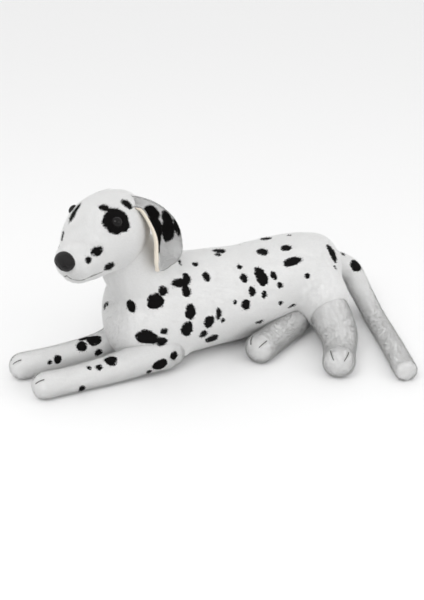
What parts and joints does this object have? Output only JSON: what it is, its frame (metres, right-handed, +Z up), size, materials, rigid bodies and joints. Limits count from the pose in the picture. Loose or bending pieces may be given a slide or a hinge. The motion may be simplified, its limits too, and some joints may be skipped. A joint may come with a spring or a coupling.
{
  "type": "plush dog",
  "caption": "Lying plush spotted dog with stretched forelegs, hanging lined ears, glossy eyes, a long tail, and a filling inside every part.",
  "frame": {"origin": "centre of the flat under the chest, where the belly lies on the floor", "axes": "+Y from chest to rump, the dog faces -Y; +X to its left; +Z up"},
  "size_m": [0.3629, 0.6547, 0.303],
  "materials": {
    "plush": "short soft pile, white with black spots",
    "ear_lining": "shorter cream pile",
    "filling": "loose white fibre",
    "thread": "doubled cotton thread",
    "eye_plastic": "polished, clear over black",
    "nose_plastic": "fine leather grain, satin",
    "washer_plastic": "moulded, hidden inside"
  },
  "bodies": {
    "torso": {"torso_skin_left": "plush", "torso_skin_right": "plush", "torso_skin_belly": "plush", "torso_filling": "filling"},
    "neck": {"neck_skin": "plush", "neck_filling": "filling"},
    "head": {"head_skin_left": "plush", "head_skin_right": "plush", "head_skin_crown": "plush", "head_skin_chin": "plush", "head_filling": "filling", "nose": "nose_plastic", "nose_washer": "washer_plastic", "eye_left": "eye_plastic", "eye_right": "eye_plastic", "eye_washer_left": "washer_plastic", "eye_washer_right": "washer_plastic", "mouth_thread": "thread"},
    "ear_left": {"ear_outer_left": "plush", "ear_lining_left": "ear_lining"},
    "ear_right": {"ear_outer_right": "plush", "ear_lining_right": "ear_lining"},
    "tail": {"tail_skin": "plush", "tail_filling": "filling"},
    "foreleg_left": {"foreleg_left_skin": "plush", "foreleg_left_sole": "plush", "foreleg_left_filling": "filling", "foreleg_left_toe_thread_1": "thread", "foreleg_left_toe_thread_2": "thread"},
    "foreleg_right": {"foreleg_right_skin": "plush", "foreleg_right_sole": "plush", "foreleg_right_filling": "filling", "foreleg_right_toe_thread_1": "thread", "foreleg_right_toe_thread_2": "thread"},
    "hind_left": {"hind_left_skin": "plush", "hind_left_sole": "plush", "hind_left_filling": "filling", "hind_left_toe_thread_1": "thread", "hind_left_toe_thread_2": "thread"},
    "hind_right": {"hind_right_skin": "plush", "hind_right_sole": "plush", "hind_right_filling": "filling", "hind_right_toe_thread_1": "thread", "hind_right_toe_thread_2": "thread"}
  },
  "joints": [
    {"name": "neck_nod", "type": "hinge", "parent": "torso", "child": "neck", "pos_m": [0.006, -0.066, 0.172], "axis": [1, 0, 0], "range_deg": [-12, 12], "stiffness_Nm_per_rad": 4},
    {"name": "head_turn", "type": "hinge", "parent": "neck", "child": "head", "pos_m": [0.012, -0.09, 0.218], "axis": [0, 0, 1], "range_deg": [-25, 6], "stiffness_Nm_per_rad": 1},
    {"name": "ear_left_lift", "type": "hinge", "parent": "head", "child": "ear_left", "pos_m": [0.0337, -0.0708, 0.295], "axis": [0.4695, -0.8829, 0], "range_deg": [0, 60]},
    {"name": "ear_right_lift", "type": "hinge", "parent": "head", "child": "ear_right", "pos_m": [-0.0245, -0.1018, 0.295], "axis": [-0.4695, 0.8829, 0], "range_deg": [0, 60]},
    {"name": "foreleg_left_lift", "type": "hinge", "parent": "torso", "child": "foreleg_left", "pos_m": [0.053, -0.074, 0.0311], "axis": [-1, 0, 0], "range_deg": [0, 22], "stiffness_Nm_per_rad": 0.8},
    {"name": "foreleg_right_lift", "type": "hinge", "parent": "torso", "child": "foreleg_right", "pos_m": [-0.036, -0.074, 0.02745], "axis": [-1, 0, 0], "range_deg": [0, 22], "stiffness_Nm_per_rad": 0.8},
    {"name": "hind_left_swing", "type": "hinge", "parent": "torso", "child": "hind_left", "pos_m": [0.102, 0.254, 0.04695], "axis": [0, 0, 1], "range_deg": [-10, 10], "stiffness_Nm_per_rad": 0.8},
    {"name": "hind_right_swing", "type": "hinge", "parent": "torso", "child": "hind_right", "pos_m": [0.054, 0.214, 0.02427], "axis": [0, 0, 1], "range_deg": [-10, 10], "stiffness_Nm_per_rad": 0.8},
    {"name": "tail_swing", "type": "hinge", "parent": "torso", "child": "tail", "pos_m": [0, 0.322, 0.086], "axis": [0, 0, 1], "range_deg": [-10, 20], "stiffness_Nm_per_rad": 0.3}
  ]
}
